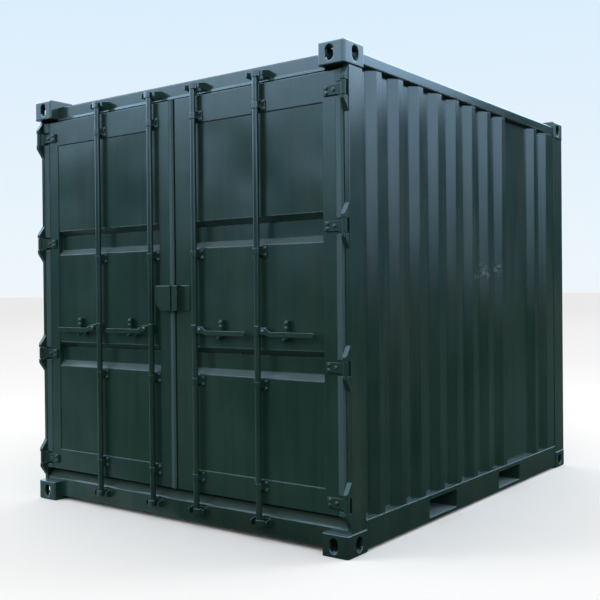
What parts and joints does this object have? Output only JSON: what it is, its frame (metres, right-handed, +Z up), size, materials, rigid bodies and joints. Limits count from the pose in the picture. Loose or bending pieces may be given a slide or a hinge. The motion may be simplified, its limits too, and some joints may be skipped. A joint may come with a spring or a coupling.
{
  "type": "shipping container",
  "caption": "Short corrugated steel freight container with double end doors, lock rods and corner castings.",
  "frame": {"origin": "centre of the footprint at ground level, on the undersides of the bottom castings", "axes": "+X to the right when facing the doors, +Y from the doors to the closed end, +Z up"},
  "size_m": [2.438, 2.991, 2.591],
  "materials": {
    "casting_paint": "worn dark green gloss paint",
    "frame_paint": "worn dark green gloss paint",
    "wall_paint": "worn dark green gloss paint",
    "roof_paint": "worn dark green gloss paint",
    "door_paint": "worn dark green gloss paint",
    "gear_paint": "worn dark green gloss paint",
    "gasket_rubber": "matt",
    "floor_plywood": "worn"
  },
  "bodies": {
    "container": {"castings_front_top": "casting_paint", "castings_front_low": "casting_paint", "castings_rear_top": "casting_paint", "castings_rear_low": "casting_paint", "front_post_left": "frame_paint", "front_post_right": "frame_paint", "rear_post_left": "frame_paint", "rear_post_right": "frame_paint", "top_rail_left": "frame_paint", "top_rail_right": "frame_paint", "bottom_rail_left": "frame_paint", "bottom_rail_right": "frame_paint", "side_wall_left": "wall_paint", "side_wall_right": "wall_paint", "door_header": "frame_paint", "door_sill": "frame_paint", "rear_header": "frame_paint", "rear_sill": "frame_paint", "end_wall": "wall_paint", "roof": "roof_paint", "floor": "floor_plywood", "cross_members": "frame_paint", "fork_pockets": "frame_paint", "hinge_lugs": "gear_paint", "cam_keepers": "gear_paint"},
    "left_door": {"door_frame_left": "door_paint", "door_panel_left": "door_paint", "door_gasket_left": "gasket_rubber", "hinge_blades_left": "gear_paint", "door_fittings_left": "gear_paint", "lock_box_left": "door_paint", "seam_strip": "door_paint"},
    "right_door": {"door_frame_right": "door_paint", "door_panel_right": "door_paint", "door_gasket_right": "gasket_rubber", "hinge_blades_right": "gear_paint", "door_fittings_right": "gear_paint", "lock_box_right": "door_paint"},
    "left_inner_rod": {"lock_rod_inner_left": "gear_paint"},
    "left_inner_handle": {"handle_inner_left": "gear_paint"},
    "left_outer_rod": {"lock_rod_outer_left": "gear_paint"},
    "left_outer_handle": {"handle_outer_left": "gear_paint"},
    "right_inner_rod": {"lock_rod_inner_right": "gear_paint"},
    "right_inner_handle": {"handle_inner_right": "gear_paint"},
    "right_outer_rod": {"lock_rod_outer_right": "gear_paint"},
    "right_outer_handle": {"handle_outer_right": "gear_paint"}
  },
  "joints": [
    {"name": "left_door_hinge", "type": "hinge", "parent": "container", "child": "left_door", "pos_m": [-1.1995, -1.4755, 1.3], "axis": [0, 0, -1], "range_deg": [0, 258]},
    {"name": "left_inner_rod_turn", "type": "hinge", "parent": "left_door", "child": "left_inner_rod", "pos_m": [-0.175, -1.4735, 1.3], "axis": [0, 0, -1], "range_deg": [-110, 0]},
    {"name": "left_inner_handle_lift", "type": "hinge", "parent": "left_inner_rod", "child": "left_inner_handle", "pos_m": [-0.223, -1.4735, 1.128], "axis": [0, 1, 0], "range_deg": [0, 25]},
    {"name": "left_outer_rod_turn", "type": "hinge", "parent": "left_door", "child": "left_outer_rod", "pos_m": [-0.632, -1.4735, 1.3], "axis": [0, 0, -1], "range_deg": [-110, 0]},
    {"name": "left_outer_handle_lift", "type": "hinge", "parent": "left_outer_rod", "child": "left_outer_handle", "pos_m": [-0.68, -1.4735, 1.128], "axis": [0, 1, 0], "range_deg": [0, 25]},
    {"name": "right_door_hinge", "type": "hinge", "parent": "container", "child": "right_door", "pos_m": [1.1995, -1.4755, 1.3], "axis": [0, 0, 1], "range_deg": [0, 258]},
    {"name": "right_inner_rod_turn", "type": "hinge", "parent": "right_door", "child": "right_inner_rod", "pos_m": [0.175, -1.4735, 1.3], "axis": [0, 0, 1], "range_deg": [-110, 0]},
    {"name": "right_inner_handle_lift", "type": "hinge", "parent": "right_inner_rod", "child": "right_inner_handle", "pos_m": [0.223, -1.4735, 1.128], "axis": [0, -1, 0], "range_deg": [0, 25]},
    {"name": "right_outer_rod_turn", "type": "hinge", "parent": "right_door", "child": "right_outer_rod", "pos_m": [0.632, -1.4735, 1.3], "axis": [0, 0, 1], "range_deg": [-110, 0]},
    {"name": "right_outer_handle_lift", "type": "hinge", "parent": "right_outer_rod", "child": "right_outer_handle", "pos_m": [0.68, -1.4735, 1.128], "axis": [0, -1, 0], "range_deg": [0, 25]}
  ]
}
